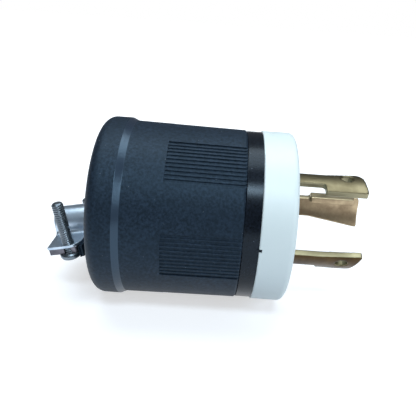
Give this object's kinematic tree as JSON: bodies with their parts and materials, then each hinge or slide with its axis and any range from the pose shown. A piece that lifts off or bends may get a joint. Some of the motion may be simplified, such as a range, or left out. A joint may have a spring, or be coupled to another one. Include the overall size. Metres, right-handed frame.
{
  "type": "locking power plug",
  "caption": "Round locking power plug with curved hooked blades, a white nose, a black ribbed housing and a steel cord clamp behind it.",
  "frame": {"origin": "centre of the white mating face, on the plug's axis", "axes": "+X out of the mating face along the blades; +Z the side that the clamp screws point to; the plug lies on its side"},
  "size_m": [0.0975, 0.054, 0.054],
  "materials": {
    "housing_black": "fine spark-textured moulded nylon",
    "carrier_black": "smooth moulded thermoset",
    "cap_white": "satin moulded nylon",
    "blade_brass": "stamped, satin, lightly plated",
    "strap_zinc": "blue-bright zinc plate",
    "plate_steel": "zinc plate, sheared edges",
    "screw_zinc": "blue-bright zinc plate, rolled thread",
    "terminal_steel": "zinc plate",
    "long_screw_steel": "zinc plate",
    "insert_brass": "turned"
  },
  "bodies": {
    "root": {"rear_housing": "housing_black", "contact_carrier": "carrier_black", "front_cap": "cap_white", "line_blade_upper": "blade_brass", "line_blade_lower": "blade_brass", "ground_blade": "blade_brass", "terminal_screw_1": "terminal_steel", "terminal_screw_2": "terminal_steel", "terminal_screw_3": "terminal_steel", "pressure_plate_1": "terminal_steel", "pressure_plate_2": "terminal_steel", "pressure_plate_3": "terminal_steel", "assembly_screw_1": "long_screw_steel", "assembly_screw_2": "long_screw_steel", "assembly_screw_3": "long_screw_steel", "threaded_insert_1": "insert_brass", "threaded_insert_2": "insert_brass", "threaded_insert_3": "insert_brass", "cord_saddle": "strap_zinc", "clamp_plate": "plate_steel", "clamp_screw_near": "screw_zinc", "clamp_screw_far": "screw_zinc"}
  },
  "joints": []
}
